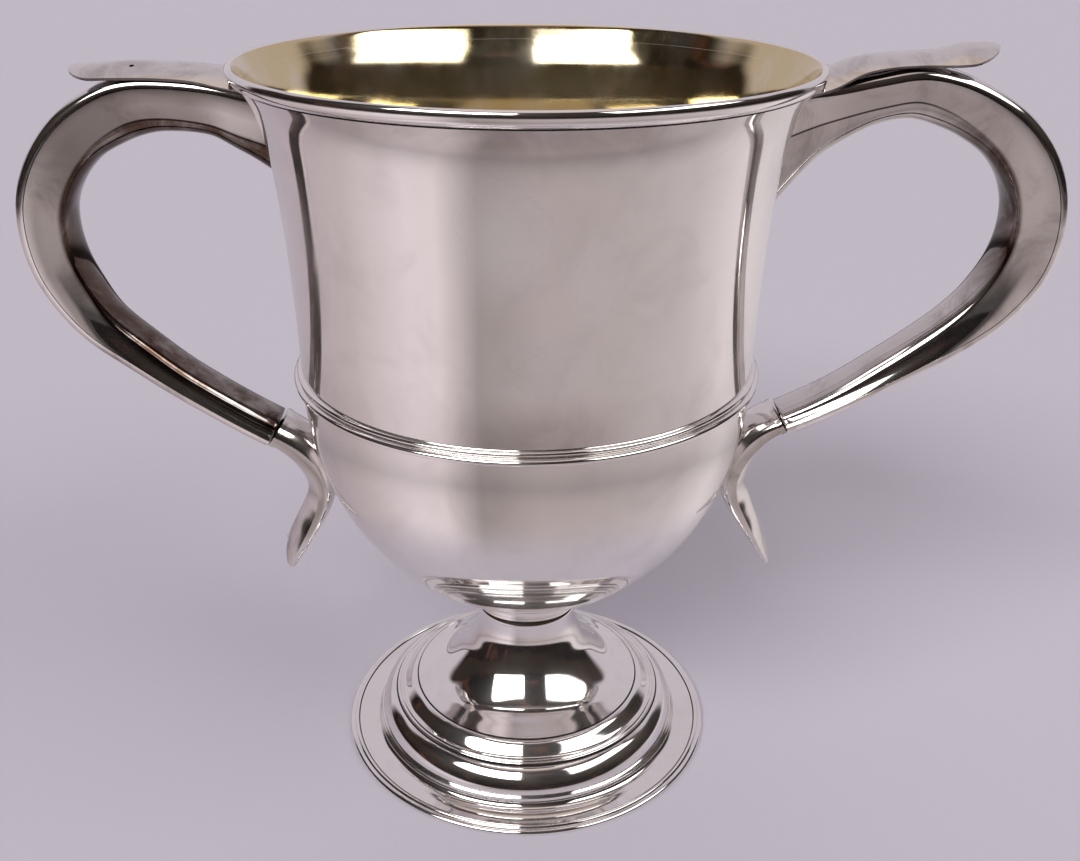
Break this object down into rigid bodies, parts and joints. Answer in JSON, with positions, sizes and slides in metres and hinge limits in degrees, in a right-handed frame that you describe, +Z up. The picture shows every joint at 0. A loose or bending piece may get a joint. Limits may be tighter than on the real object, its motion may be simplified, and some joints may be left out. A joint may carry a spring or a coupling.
{
  "type": "two-handled cup",
  "caption": "Open silver cup on a low moulded foot, with a deep rounded bowl, a reeded girdle and hollow scroll handles with leaf thumb-pieces.",
  "frame": {"origin": "on the axis of the bowl, in the plane the foot stands on", "axes": "+Z up along the axis of the bowl and foot; the two handles lie along X, the larger at +X"},
  "size_m": [0.2308, 0.1248, 0.1749],
  "materials": {
    "bowl": "polished silver, gilt inside",
    "rim_wire": "polished silver",
    "girdle_band": "polished silver",
    "neck_collar": "polished silver",
    "foot_dome": "polished silver",
    "foot_moulding": "polished silver",
    "foot_rim": "polished silver",
    "left_handle_body": "polished silver",
    "left_handle_strap": "polished silver",
    "left_lower_terminal": "polished silver",
    "left_thumb_piece": "polished silver",
    "right_handle_body": "polished silver",
    "right_handle_strap": "polished silver",
    "right_lower_terminal": "polished silver",
    "right_thumb_piece": "polished silver"
  },
  "bodies": {
    "root": {"bowl": "bowl", "rim_wire": "rim_wire", "girdle_band": "girdle_band", "neck_collar": "neck_collar", "foot_dome": "foot_dome", "foot_moulding": "foot_moulding", "foot_rim": "foot_rim", "left_handle_body": "left_handle_body", "left_handle_strap": "left_handle_strap", "left_lower_terminal": "left_lower_terminal", "left_thumb_piece": "left_thumb_piece", "right_handle_body": "right_handle_body", "right_handle_strap": "right_handle_strap", "right_lower_terminal": "right_lower_terminal", "right_thumb_piece": "right_thumb_piece"}
  },
  "joints": []
}
